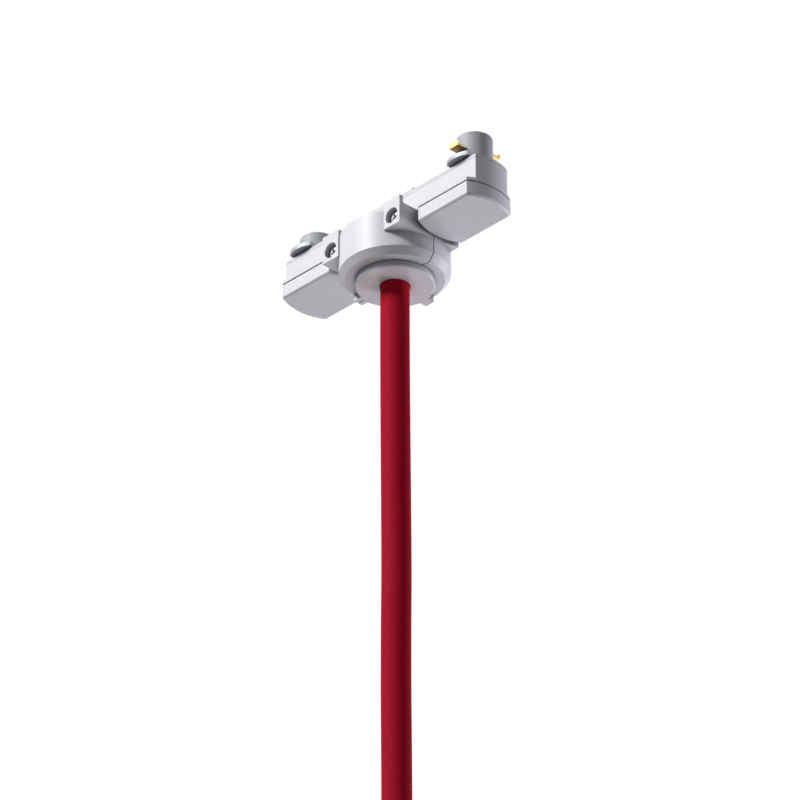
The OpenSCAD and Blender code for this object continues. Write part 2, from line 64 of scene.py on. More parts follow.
# Middle of the cord, from the grip in the collar down to the lamp end, in metres
CORD_ROUTE = [
    (0.0, 0.0, -0.0104),
    (0.0, 0.0, -0.030),
    (0.0, 0.0, -0.060),
    (0.0001, 0.0001, -0.090),
    (0.0002, 0.0003, -0.120),
    (0.0004, 0.0004, -0.150),
    (0.0005, 0.0005, -0.180),
    (0.0004, 0.0004, -0.210),
    (0.0004, 0.0004, -0.240),
    (0.0005, 0.0006, -0.270),
    (0.0006, 0.0007, -0.300),
    (0.0006, 0.0007, -0.318),
]

# Open share of the surroundings where the painted shade is fullest and where it ends, and its tone
SHADE_FULL = 0.2
SHADE_NONE = 0.95
SHADE_TONE = 0.35

# Angle between two faces up to which they are one flat face, from which their edge is rounded,
# and from which the shading keeps it as a crease
FLAT = math.radians(0.5)
EDGE = math.radians(25)
CREASE = math.radians(50)

# Yarns that each yarn of the braid passes over, and then under
BRAID_OVER = 2.0
# Sides and rings of a screw's head, and the power that rounds it: the lower, the squarer
HEAD_SIDES = 48
HEAD_RINGS = 25
HEAD_ROUND = 0.4
# How far the shank runs up into the head, over the head's height
SHANK_IN_HEAD = 0.3
# Wings of the cross recess: length and width over the head's radius, height over the head's
# height, and how much wider they get over one height of the head
WING_LENGTH = 1.16
WING_WIDTH = 0.30
WING_HEIGHT = 1.4
WING_TAPER = 0.45
# Flat crown of a nut over its corners, and the run of its 30 degree chamfer over its drop
NUT_CROWN = 0.84
CHAMFER_RUN = 1.73
# Radius of the thread's ridge over its pitch
RIDGE = 0.36
# Sides of rods and bores, of finer rounds, of the nipple and of the thread's ridge
ROD_SIDES = 32
ROUND_SIDES = 48
NIPPLE_SIDES = 64
RIDGE_SIDES = 8

# Kinds of node that come up most
MATH = "ShaderNodeMath"
XYZ = "ShaderNodeCombineXYZ"
BOOLEAN = "GeometryNodeMeshBoolean"


def linear(code):
    """Linear RGB of an sRGB hex colour."""
    parts = [int(code[i:i + 2], 16) / 255 for i in (0, 2, 4)]
    return tuple(c / 12.92 if c <= 0.04045 else ((c + 0.055) / 1.055) ** 2.4 for c in parts)


def per(size):
    """Scale of a pattern whose marks are this many millimetres apart, on coordinates in metres."""
    return 1 / (size * MM)


class AdapterFinish(bpy.types.PropertyGroup):
    """Colours of the adapter's materials."""

    housing: FloatVectorProperty(
        name="Housing", description="White of the body, levers, collar, cap and sleeve",
        subtype="COLOR", default=linear("F0F0F4"), min=0, max=1)
    cover: FloatVectorProperty(
        name="Cover", description="White of the body's lid",
        subtype="COLOR", default=linear("E6E7EB"), min=0, max=1)
    insulator: FloatVectorProperty(
        name="Insulator", description="Grey of the heads, the grip and the terminal block",
        subtype="COLOR", default=linear("BFC2C8"), min=0, max=1)
    brass: FloatVectorProperty(
        name="Brass", description="Colour of the contacts, strips and nipple",
        subtype="COLOR", default=linear("CBAE6E"), min=0, max=1)
    zinc: FloatVectorProperty(
        name="Cast zinc", description="Colour of the lock cams",
        subtype="COLOR", default=linear("989BA0"), min=0, max=1)
    plating: FloatVectorProperty(
        name="Screw plating", description="Colour of the plated screws, nuts and washers",
        subtype="COLOR", default=linear("E4E5E8"), min=0, max=1)
    braid_crown: FloatVectorProperty(
        name="Braid crowns", description="Red of the yarns where they come to the top",
        subtype="COLOR", default=linear("D21736"), min=0, max=1)
    braid_valley: FloatVectorProperty(
        name="Braid valleys", description="Red between the yarns",
        subtype="COLOR", default=linear("C21530"), min=0, max=1)


class AdapterSizes(bpy.types.PropertyGroup):
    """Sizes of the shapes that are made here."""

    housing_edge: FloatProperty(
        name="Housing edges", description="Rounding of the mouldings' outer edges",
        unit="LENGTH", default=0.16 * MM, min=0.05 * MM, max=0.6 * MM)
    fine_edge: FloatProperty(
        name="Fine edges", description="Rounding of the small inner pieces and metal parts",
        unit="LENGTH", default=0.12 * MM, min=0.02 * MM, max=0.3 * MM)
    cord_diameter: FloatProperty(
        name="Cord diameter", description="Outside diameter of the braided cord",
        unit="LENGTH", default=13.7 * MM, min=4 * MM, max=20 * MM)
    braid_relief: FloatProperty(
        name="Braid relief", description="Depth from the yarns' crowns to the valleys",
        unit="LENGTH", default=0.18 * MM, min=0, max=0.6 * MM)
    braid_yarns: IntProperty(
        name="Yarns each way", description="Number of yarns that wind round the cord in each direction",
        default=20, min=8, max=32)
    braid_pitch: FloatProperty(
        name="Yarn spacing", description="Spacing of the yarns along the cord",
        unit="LENGTH", default=2.2 * MM, min=0.8 * MM, max=6 * MM)
    collar_head: FloatProperty(
        name="Collar screw head", description="Diameter of the collar screws' heads",
        unit="LENGTH", default=7.2 * MM, min=5 * MM, max=8 * MM)
    cover_head: FloatProperty(
        name="Cover screw head", description="Diameter of the cover screws' heads",
        unit="LENGTH", default=4.6 * MM, min=3 * MM, max=6 * MM)
    thread_pitch: FloatProperty(
        name="Nipple pitch", description="Pitch of the nipple's thread",
        unit="LENGTH", default=1.0 * MM, min=0.5 * MM, max=2 * MM)


class AdapterStage(bpy.types.PropertyGroup):
    """Camera and floor."""

    azimuth: FloatProperty(
        name="Azimuth", description="Angle of the view round the adapter",
        subtype="ANGLE", default=math.radians(46.741))
    elevation: FloatProperty(
        name="Elevation", description="Angle of the view above the horizon",
        subtype="ANGLE", default=math.radians(-31.86))
    distance: FloatProperty(
        name="Distance", description="Distance of the camera from the cap's lower face",
        unit="LENGTH", default=2.5, min=0.5, max=10)
    px_per_mm: FloatProperty(
        name="Pixels per millimetre", description="Size of the adapter in the photograph's frame",
        default=2.161, min=0.5, max=10)
    floor_depth: FloatProperty(
        name="Floor", description="Depth of the floor below the tops of the ear lips",
        unit="LENGTH", default=2.4, min=1.5, max=4)


def add(tree, kind, inputs=(), **settings):
    """Adds a node with these settings and fills its inputs, in their order or by name or number.

    An input takes a plain value, a socket, or a node, which stands for its first output.
    """
    node = tree.nodes.new(kind)
    for name, value in settings.items():
        setattr(node, name, value)
    for key, source in inputs.items() if isinstance(inputs, dict) else enumerate(inputs):
        if isinstance(source, bpy.types.Node):
            source = source.outputs[0]
        if isinstance(source, bpy.types.NodeSocket):
            tree.links.new(source, node.inputs[key])
        else:
            node.inputs[key].default_value = source
    return node


def shader(name, **sockets):
    """New material whose shader has these plain values, with its tree, shader and object coordinates."""
    material = bpy.data.materials.new(name)
    material.use_nodes = True
    tree = material.node_tree
    principled = tree.nodes["Principled BSDF"]
    for label, value in sockets.items():
        principled.inputs[label.replace("_", " ")].default_value = value
    return material, tree, principled, add(tree, "ShaderNodeTexCoord").outputs["Object"]


def tone(colour, factor=1.0):
    """Colour with alpha, made lighter or darker by a factor."""
    return tuple(min(1.0, c * factor) for c in colour[:3]) + (1.0,)


def with_painted_shade(tree, colour, reach):
    """Colour with painted shade: darker in gaps, holes and recesses within a reach in millimetres."""
    # Painted shade from ambient occlusion: the colour is multiplied darker where little of the surroundings
    # is open
    sky = add(tree, "ShaderNodeAmbientOcclusion", {"Distance": reach * MM}, samples=8)
    depth = add(tree, "ShaderNodeMapRange", {
        "Value": sky.outputs["AO"], "From Min": SHADE_FULL, "From Max": SHADE_NONE, "To Min": SHADE_TONE})
    shaded_colour = add(tree, "ShaderNodeMix", {
        0: 1.0, 6: colour, 7: depth.outputs["Result"]}, data_type="RGBA", blend_type="MULTIPLY")
    return shaded_colour.outputs[2]


def moulded_plastic(name, colour, grain, gloss, bump, ior, mirror):
    """Injection-moulded plastic from a spark-eroded tool."""
    # A satin face: broad faint shading from the melt's flow, and a fine even grain in the gloss.
    # The real grain is about 0.05 mm and too fine to show, so it is drawn coarser.
    material, tree, principled, place = shader(name, IOR=ior, Specular_IOR_Level=mirror)
    flow = add(tree, "ShaderNodeTexNoise", {"Vector": place, "Scale": per(24), "Detail": 2.0})
    shade = add(tree, "ShaderNodeMix", {
        0: flow.outputs["Fac"], 6: tone(colour), 7: tone(colour, 0.955)}, data_type="RGBA")
    # Painted shade: the base colour goes darker in gaps, holes and recesses within 6 mm
    tree.links.new(with_painted_shade(tree, shade.outputs[2], reach=6), principled.inputs["Base Color"])
    sparks = add(tree, "ShaderNodeTexNoise", {"Vector": place, "Scale": per(grain), "Detail": 3.0})
    sheen = add(tree, "ShaderNodeMapRange", {
        "Value": sparks.outputs["Fac"], "To Min": gloss - 0.06, "To Max": gloss + 0.06})
    tree.links.new(sheen.outputs["Result"], principled.inputs["Roughness"])
    relief = add(tree, "ShaderNodeBump", {
        "Height": sparks.outputs["Fac"], "Strength": bump, "Distance": 0.04 * MM})
    tree.links.new(relief.outputs["Normal"], principled.inputs["Normal"])
    return material


def white_polycarbonate():
    """Satin white of the outer mouldings."""
    return moulded_plastic(
        "White moulded polycarbonate", bpy.context.scene.adapter_finish.housing,
        grain=0.45, gloss=0.4, bump=0.2, ior=1.585, mirror=0.22)


def cover_polycarbonate():
    """Duller white of the lid, whose mould is less finely finished."""
    return moulded_plastic(
        "White moulded polycarbonate lid", bpy.context.scene.adapter_finish.cover,
        grain=0.6, gloss=0.48, bump=0.35, ior=1.585, mirror=0.3)


def grey_nylon():
    """Dull grey of the inner mouldings, roughened by the glass in them."""
    return moulded_plastic(
        "Grey glass-filled nylon", bpy.context.scene.adapter_finish.insulator,
        grain=0.35, gloss=0.55, bump=0.5, ior=1.53, mirror=0.4)


def drawn_metal(name, colour, along, across, gloss, warm, metal):
    """Metal with the fine marks of rolling or plating, longer along X where it was rolled."""
    # Faint lines or specks in the gloss, and a slow drift of tone from plating or tarnish.
    material, tree, principled, place = shader(name, Metallic=metal)
    stretch = add(tree, "ShaderNodeMapping", {
        "Vector": place, "Scale": (per(along), per(across), per(across))})
    lines = add(tree, "ShaderNodeTexNoise", {
        "Vector": stretch.outputs["Vector"], "Scale": 1.0, "Detail": 2.0})
    sheen = add(tree, "ShaderNodeMapRange", {
        "Value": lines.outputs["Fac"], "To Min": gloss - 0.08, "To Max": gloss + 0.1})
    tree.links.new(sheen.outputs["Result"], principled.inputs["Roughness"])
    drift = add(tree, "ShaderNodeTexNoise", {"Vector": place, "Scale": per(5), "Detail": 1.0})
    tarnished = tone([c * share for c, share in zip(colour, warm)])
    shade = add(tree, "ShaderNodeMix", {
        0: drift.outputs["Fac"], 6: tone(colour, 1.05), 7: tarnished}, data_type="RGBA")
    # Painted shade: the base colour goes darker in gaps, holes and recesses within 2 mm
    tree.links.new(with_painted_shade(tree, shade.outputs[2], reach=2), principled.inputs["Base Color"])
    relief = add(tree, "ShaderNodeBump", {
        "Height": lines.outputs["Fac"], "Strength": 0.15, "Distance": 0.02 * MM})
    tree.links.new(relief.outputs["Normal"], principled.inputs["Normal"])
    return material


def rolled_brass():
    """Brass strip, bright with a little tarnish."""
    return drawn_metal(
        "Rolled brass", bpy.context.scene.adapter_finish.brass,
        along=9, across=0.3, gloss=0.38, warm=(0.9, 0.86, 0.78), metal=1.0)


def zinc_plated_steel():
    """Screws, nuts and washers, whose plating is chalky and looks only partly like metal."""
    return drawn_metal(
        "Zinc-plated steel", bpy.context.scene.adapter_finish.plating,
        along=1.2, across=1.2, gloss=0.42, warm=(0.95, 0.965, 0.98), metal=0.4)


def cast_zinc():
    """Bare die-cast zinc."""
    # Dull grey with a soft mottle where the metal chilled against the die.
    material, tree, principled, place = shader("Bare die-cast zinc", Metallic=1.0)
    colour = bpy.context.scene.adapter_finish.zinc
    mottle = add(tree, "ShaderNodeTexNoise", {"Vector": place, "Scale": per(2.2), "Detail": 4.0})
    shade = add(tree, "ShaderNodeMix", {
        0: mottle.outputs["Fac"], 6: tone(colour, 0.82), 7: tone(colour, 1.1)}, data_type="RGBA")
    tree.links.new(shade.outputs[2], principled.inputs["Base Color"])
    sheen = add(tree, "ShaderNodeMapRange", {
        "Value": mottle.outputs["Fac"], "To Min": 0.52, "To Max": 0.7})
    tree.links.new(sheen.outputs["Result"], principled.inputs["Roughness"])
    relief = add(tree, "ShaderNodeBump", {
        "Height": mottle.outputs["Fac"], "Strength": 0.3, "Distance": 0.05 * MM})
    tree.links.new(relief.outputs["Normal"], principled.inputs["Normal"])
    return material


def braided_rayon():
    """Braided rayon cover of the cord."""
    # Crowns of the yarns catch the light and the gaps between them go dark; loose fibres give a
    # soft bloom at the edges. Single fibres are too fine to show, so the flecks are drawn coarser.
    material, tree, principled, place = shader(
        "Braided red rayon", IOR=1.52, Specular_IOR_Level=0.05, Diffuse_Roughness=0.6,
        Sheen_Weight=0.02, Sheen_Roughness=0.4, Sheen_Tint=tone(linear("D84A5C")))
    finish = bpy.context.scene.adapter_finish
    relief = add(tree, "ShaderNodeAttribute", attribute_name="relief")
    fibres = add(tree, "ShaderNodeTexNoise", {"Vector": place, "Scale": per(0.8), "Detail": 3.0})
    lift = add(tree, MATH, (fibres.outputs["Fac"], 0.5), operation="SUBTRACT")
    height = add(tree, MATH, (lift, 0.5, relief.outputs["Fac"]), operation="MULTIPLY_ADD", use_clamp=True)
    shade = add(tree, "ShaderNodeMix", {
        0: height, 6: tone(finish.braid_valley), 7: tone(finish.braid_crown)}, data_type="RGBA")
    tree.links.new(shade.outputs[2], principled.inputs["Base Color"])
    dull = add(tree, "ShaderNodeMapRange", {"Value": height, "To Min": 0.85, "To Max": 0.62})
    tree.links.new(dull.outputs["Result"], principled.inputs["Roughness"])
    threads = add(tree, "ShaderNodeBump", {
        "Height": fibres.outputs["Fac"], "Strength": 0.5, "Distance": 0.1 * MM})
    tree.links.new(threads.outputs["Normal"], principled.inputs["Normal"])
    return material


def vinyl_lead(name, colour, stripe):
    """Extruded vinyl insulation of one lead."""
    # Glossy and even, with slanting stripes of the second colour where it has one.
    material, tree, principled, place = shader(name, IOR=1.53)
    bands = add(tree, "ShaderNodeTexWave", {
        "Vector": place, "Scale": per(12), "Distortion": 0.6}, bands_direction="DIAGONAL")
    shade = add(tree, "ShaderNodeMix", {
        0: bands.outputs["Fac"], 6: tone(linear(colour)), 7: tone(linear(stripe))}, data_type="RGBA")
    tree.links.new(shade.outputs[2], principled.inputs["Base Color"])
    smear = add(tree, "ShaderNodeTexNoise", {"Vector": place, "Scale": per(1.5)})
    sheen = add(tree, "ShaderNodeMapRange", {
        "Value": smear.outputs["Fac"], "To Min": 0.28, "To Max": 0.4})
    tree.links.new(sheen.outputs["Result"], principled.inputs["Roughness"])
    return material


FINISHES = {
    "white_housing": white_polycarbonate,
    "white_cover": cover_polycarbonate,
    "grey_insulator": grey_nylon,
    "contact_brass": rolled_brass,
    "cast_zinc": cast_zinc,
    "zinc_screw": zinc_plated_steel,
    "red_braid": braided_rayon,
    "brown_lead": lambda: vinyl_lead("Brown vinyl", "6B3F22", "5E361C"),
    "blue_lead": lambda: vinyl_lead("Blue vinyl", "2F5FAE", "2A569E"),
    "earth_lead": lambda: vinyl_lead("Green and yellow vinyl", "3F8F2F", "D8C02A"),
}
MADE = {}


def finish_of(node):
    """Material of a CAD node's slot, made once."""
    slot = SLOT[node]
    if slot not in MADE:
        MADE[slot] = FINISHES[slot]()
    return MADE[slot]


def link(name, mesh):
    """New object at the origin with this mesh."""
    piece = bpy.data.objects.new(name, mesh)
    bpy.context.scene.collection.objects.link(piece)
    return piece


def plain(piece):
    """Turns what the modifiers give into the piece's own mesh and removes them."""
    graph = bpy.context.evaluated_depsgraph_get()
    made = bpy.data.meshes.new_from_object(piece.evaluated_get(graph), depsgraph=graph)
    before = piece.data
    piece.modifiers.clear()
    piece.data = made
    bpy.data.meshes.remove(before)
    made.name = piece.name
    return piece


def stand_for(piece, *nodes):
    """The piece takes over these CAD nodes: their body and their place."""
    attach(piece, BODY[nodes[0]])
    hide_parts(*nodes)
    return piece


def paint(*nodes):
    """Gives CAD nodes that keep their shape the material of their slot."""
    for node in nodes:
        mesh = frame["nodes"][node].data
        mesh.materials.clear()
        mesh.materials.append(finish_of(node))


def rounded(node, width, segments=3):
    """Copy of a CAD node with its outer edges rounded, as a mould or a tumbler leaves them."""
    source = frame["nodes"][node].data
    mesh = bpy.data.meshes.new(node + "_rounded")
    mesh.from_pydata([v.co[:] for v in source.vertices], [], [p.vertices[:] for p in source.polygons])
    shape = bmesh.new()
    shape.from_mesh(mesh)
    bmesh.ops.remove_doubles(shape, verts=shape.verts, dist=0.001 * MM)
    bmesh.ops.dissolve_limit(shape, angle_limit=FLAT, verts=shape.verts, edges=shape.edges)
    weight = shape.edges.layers.float.new("bevel_weight_edge")
    for edge in shape.edges:
        if len(edge.link_faces) == 2 and edge.is_convex and edge.calc_face_angle() > EDGE:
            edge[weight] = 1.0
    shape.to_mesh(mesh)
    shape.free()
    piece = link(node + "_rounded", mesh)
    bevel = piece.modifiers.new("Rounded edges", "BEVEL")
    bevel.width = width
    bevel.segments = segments
    bevel.limit_method = "WEIGHT"
    bevel.use_clamp_overlap = False
    bevel.miter_outer = "MITER_ARC"
    plain(piece)
    piece.data.shade_smooth()
    piece.data.set_sharp_from_angle(angle=CREASE)
    piece.modifiers.new("Flat faces", "WEIGHTED_NORMAL").keep_sharp = True
    plain(piece)
    piece.data.materials.append(finish_of(node))
    return stand_for(piece, node)


def new_tree(name, **inputs):
    """New Geometry Nodes tree with these named inputs, its input sockets and its output node."""
    tree = bpy.data.node_groups.new(name, "GeometryNodeTree")
    for way in ("INPUT", "OUTPUT"):
        tree.interface.new_socket("Geometry", in_out=way, socket_type="NodeSocketGeometry")
    for label, kind in inputs.items():
        tree.interface.new_socket(
            label.replace("_", " "), in_out="INPUT", socket_type="NodeSocket" + kind)
    return tree, add(tree, "NodeGroupInput").outputs, add(tree, "NodeGroupOutput")


def grown(name, tree, points, edges=(), **sizes):
    """Plain mesh that a tree grows on these points, with its inputs set by their identifiers."""
    mesh = bpy.data.meshes.new(name)
    mesh.from_pydata(points, edges, [])
    piece = link(name, mesh)
    modifier = piece.modifiers.new(tree.name, "NODES")
    modifier.node_group = tree
    sockets = {
        item.name: item.identifier for item in tree.interface.items_tree
        if item.item_type == "SOCKET" and item.in_out == "INPUT"}
    for label, value in sizes.items():
        modifier[sockets[label.replace("_", " ")]] = value
    return plain(piece)


def smooth_but_sharp(tree, geometry, degrees):
    """Smooth shading that keeps edges sharper than this angle."""
    smooth = add(tree, "GeometryNodeSetShadeSmooth", {"Geometry": geometry})
    angle = add(tree, "GeometryNodeInputMeshEdgeAngle").outputs["Unsigned Angle"]
    sharp = add(tree, "FunctionNodeCompare", (angle, math.radians(degrees)), operation="GREATER_THAN")
    return add(tree, "GeometryNodeSetShadeSmooth", {
        "Geometry": smooth, "Selection": sharp, "Shade Smooth": False}, domain="EDGE")


def place_copies(tree, inputs, output, shape):
    """Puts the shape on every point with the Turn input, as one mesh with the Material input."""
    copies = add(tree, "GeometryNodeInstanceOnPoints", {
        "Points": inputs["Geometry"], "Instance": shape, "Rotation": inputs["Turn"]})
    solid = add(tree, "GeometryNodeRealizeInstances", {"Geometry": copies})
    painted = add(tree, "GeometryNodeSetMaterial", {"Geometry": solid, "Material": inputs["Material"]})
    tree.links.new(painted.outputs["Geometry"], output.inputs["Geometry"])


def braid_tree():
    """Tube along the curve with two sets of yarns wound over two and under two."""
    tree, inputs, output = new_tree(
        "Braided cord", Radius="Float", Relief="Float", Yarns="Int", Spacing="Float",
        Sides="Int", Step="Float", Material="Material")
    path = add(tree, "GeometryNodeMeshToCurve", {"Mesh": inputs["Geometry"]})
    bent = add(tree, "GeometryNodeCurveSplineType", {"Curve": path}, spline_type="CATMULL_ROM")
    spine = add(tree, "GeometryNodeResampleCurve", {"Curve": bent, "Length": inputs["Step"]}, mode="LENGTH")
    ring = add(tree, "GeometryNodeCurvePrimitiveCircle", {
        "Resolution": inputs["Sides"], "Radius": inputs["Radius"]}, mode="RADIUS")
    marked = []
    for curve, measure in ((spine, "Length"), (ring, "Factor")):
        mark = add(tree, "GeometryNodeCaptureAttribute")
        mark.capture_items.new("FLOAT", measure)
        tree.links.new(curve.outputs["Curve"], mark.inputs["Geometry"])
        tree.links.new(add(tree, "GeometryNodeSplineParameter").outputs[measure], mark.inputs[measure])
        marked.append(mark)
    tube = add(tree, "GeometryNodeCurveToMesh", {
        "Curve": marked[0], "Profile Curve": marked[1], "Fill Caps": True})
    # For each way of winding: the number of the yarn at a point, and how high that yarn stands there
    along = add(tree, MATH, (marked[0].outputs["Length"], inputs["Spacing"]), operation="DIVIDE")
    around = add(tree, MATH, (marked[1].outputs["Factor"], inputs["Yarns"]), operation="MULTIPLY")
    yarns = []
    crowns = []
    for way in ("ADD", "SUBTRACT"):
        turns = add(tree, MATH, (around, along), operation=way)
        yarns.append(add(tree, MATH, (turns,), operation="FLOOR"))
        share = add(tree, MATH, (turns,), operation="FRACT")
        across = add(tree, MATH, (share, 0.5), operation="SUBTRACT")
        angle = add(tree, MATH, (across, math.pi), operation="MULTIPLY")
        arch = add(tree, MATH, (angle,), operation="COSINE")
        crowns.append(add(tree, MATH, (arch,), operation="SQRT"))
    crossing = add(tree, MATH, yarns, operation="ADD")
    beat = add(tree, MATH, (crossing, 2 * BRAID_OVER), operation="FLOORED_MODULO")
    over = add(tree, MATH, (beat, BRAID_OVER), operation="LESS_THAN")
    top = add(tree, "ShaderNodeMix", {0: over, 2: crowns[1], 3: crowns[0]}, data_type="FLOAT")
    kept = add(tree, "GeometryNodeStoreNamedAttribute", {
        "Geometry": tube, "Name": "relief", "Value": top}, data_type="FLOAT", domain="POINT")
    depth = add(tree, MATH, (top, 1.0), operation="SUBTRACT")
    sunk = add(tree, MATH, (depth, inputs["Relief"]), operation="MULTIPLY")
    offset = add(tree, "ShaderNodeVectorMath", {
        0: add(tree, "GeometryNodeInputNormal"), "Scale": sunk}, operation="SCALE")
    moved = add(tree, "GeometryNodeSetPosition", {"Geometry": kept, "Offset": offset})
    smooth = smooth_but_sharp(tree, moved, degrees=70)
    solid = add(tree, "GeometryNodeRealizeInstances", {"Geometry": smooth})
    painted = add(tree, "GeometryNodeSetMaterial", {"Geometry": solid, "Material": inputs["Material"]})
    tree.links.new(painted.outputs["Geometry"], output.inputs["Geometry"])
    return tree


def screw_tree():
    """Pan-head screw with a tapered cross recess; its head stands on the point, along Z."""
    tree, inputs, output = new_tree(
        "Cross-recess screw", Head_radius="Float", Head_height="Float", Shank_radius="Float",
        Shank_length="Float", Turn="Rotation", Recess_turn="Float", Material="Material")
    radius, height = inputs["Head radius"], inputs["Head height"]
    # The head is a flat sheet of angle and height, wrapped round the axis: x is the angle, and y
    # runs from the middle of the underside, at -1, over the rim, at 0, to the crown, at 1
    sheet = add(tree, "GeometryNodeMeshGrid", {
        "Size X": 2 * math.pi, "Size Y": 2.0, "Vertices X": HEAD_SIDES + 1, "Vertices Y": HEAD_RINGS})
    at = add(tree, "ShaderNodeSeparateXYZ", (add(tree, "GeometryNodeInputPosition"),)).outputs
    below = add(tree, MATH, (at["Y"], 0.0), operation="MINIMUM")
    under = add(tree, MATH, (below, 1.0), operation="ADD")
    above = add(tree, MATH, (at["Y"], 0.0), operation="MAXIMUM")
    climb = add(tree, MATH, (above, math.pi / 2), operation="MULTIPLY")
    inward = add(tree, MATH, (add(tree, MATH, (climb,), operation="COSINE"), 0.0), operation="MAXIMUM")
    round_in = add(tree, MATH, (inward, HEAD_ROUND), operation="POWER")
    upward = add(tree, MATH, (climb,), operation="SINE")
    round_up = add(tree, MATH, (upward, HEAD_ROUND), operation="POWER")
    widest = add(tree, MATH, (radius, under), operation="MULTIPLY")
    reach = add(tree, MATH, (widest, round_in), operation="MULTIPLY")
    wrapped = add(tree, XYZ, (
        add(tree, MATH, (reach, add(tree, MATH, (at["X"],), operation="COSINE")), operation="MULTIPLY"),
        add(tree, MATH, (reach, add(tree, MATH, (at["X"],), operation="SINE")), operation="MULTIPLY"),
        add(tree, MATH, (height, round_up), operation="MULTIPLY")))
    wrap = add(tree, "GeometryNodeSetPosition", {"Geometry": sheet, "Position": wrapped})
    head = add(tree, "GeometryNodeMergeByDistance", {"Geometry": wrap, "Distance": 0.002 * MM})
    inside = add(tree, MATH, (height, SHANK_IN_HEAD), operation="MULTIPLY")
    length = add(tree, MATH, (inputs["Shank length"], inside), operation="ADD")
    rod = add(tree, "GeometryNodeMeshCylinder", {
        "Vertices": ROD_SIDES, "Radius": inputs["Shank radius"], "Depth": length})
    half = add(tree, MATH, (length, 0.5), operation="MULTIPLY")
    drop = add(tree, MATH, (half, inputs["Shank length"]), operation="SUBTRACT")
    shank = add(tree, "GeometryNodeTransform", {"Geometry": rod, "Translation": add(tree, XYZ, {2: drop})})
    body = add(tree, BOOLEAN, {"Mesh 2": head}, operation="UNION", solver="EXACT")
    tree.links.new(shank.outputs["Geometry"], body.inputs["Mesh 2"])
    # Each wing of the recess is a bar that narrows downwards
    wing = add(tree, "GeometryNodeMeshCube", {"Size": add(tree, XYZ, (
        add(tree, MATH, (radius, WING_LENGTH), operation="MULTIPLY"),
        add(tree, MATH, (radius, WING_WIDTH), operation="MULTIPLY"),
        add(tree, MATH, (height, WING_HEIGHT), operation="MULTIPLY")))})
    spot = add(tree, "GeometryNodeInputPosition")
    level = add(tree, "ShaderNodeSeparateXYZ", (spot,)).outputs["Z"]
    heads_up = add(tree, MATH, (level, height), operation="DIVIDE")
    wider = add(tree, MATH, (heads_up, WING_TAPER), operation="MULTIPLY")
    taper = add(tree, MATH, (1.0, wider), operation="ADD")
    narrow = add(tree, "ShaderNodeVectorMath", (
        spot, add(tree, XYZ, (taper, taper, 1.0))), operation="MULTIPLY")
    bar = add(tree, "GeometryNodeSetPosition", {"Geometry": wing, "Position": narrow})
    cut = add(tree, BOOLEAN, {"Mesh 1": body}, operation="DIFFERENCE", solver="EXACT")
    for quarter in (0.0, math.pi / 2):
        turn = add(tree, MATH, (inputs["Recess turn"], quarter), operation="ADD")
        wing_in = add(tree, "GeometryNodeTransform", {
            "Geometry": bar, "Translation": add(tree, XYZ, {2: height}),
            "Rotation": add(tree, "FunctionNodeEulerToRotation", (add(tree, XYZ, {2: turn}),))})
        tree.links.new(wing_in.outputs["Geometry"], cut.inputs["Mesh 2"])
    place_copies(tree, inputs, output, smooth_but_sharp(tree, cut, degrees=38))
    return tree


def nut_tree():
    """Hexagon nut with chamfered corners; its seat is at the point and it rises along Z."""
    tree, inputs, output = new_tree(
        "Hexagon nut", Corner_radius="Float", Height="Float", Bore_radius="Float",
        Turn="Rotation", Material="Material")
    corner, height = inputs["Corner radius"], inputs["Height"]
    half = add(tree, MATH, (height, 0.5), operation="MULTIPLY")
    bar = add(tree, "GeometryNodeMeshCylinder", {"Vertices": 6, "Radius": corner, "Depth": height})
    crown = add(tree, MATH, (corner, NUT_CROWN), operation="MULTIPLY")
    run = add(tree, MATH, (height, CHAMFER_RUN), operation="MULTIPLY")
    cone = add(tree, "GeometryNodeMeshCone", {
        "Vertices": ROUND_SIDES, "Radius Top": crown, "Depth": height,
        "Radius Bottom": add(tree, MATH, (crown, run), operation="ADD")})
    down = add(tree, MATH, (half, -1.0), operation="MULTIPLY")
    drop = add(tree, "GeometryNodeTransform", {"Geometry": cone, "Translation": add(tree, XYZ, {2: down})})
    blank = add(tree, BOOLEAN, {"Mesh 2": bar}, operation="INTERSECT", solver="EXACT")
    tree.links.new(drop.outputs["Geometry"], blank.inputs["Mesh 2"])
    bore = add(tree, "GeometryNodeMeshCylinder", {
        "Vertices": ROD_SIDES, "Radius": inputs["Bore radius"],
        "Depth": add(tree, MATH, (height, 2.0), operation="MULTIPLY")})
    nut = add(tree, BOOLEAN, {"Mesh 1": blank, "Mesh 2": bore}, operation="DIFFERENCE", solver="EXACT")
    seated = add(tree, "GeometryNodeTransform", {"Geometry": nut, "Translation": add(tree, XYZ, {2: half})})
    place_copies(tree, inputs, output, smooth_but_sharp(tree, seated, degrees=25))
    return tree


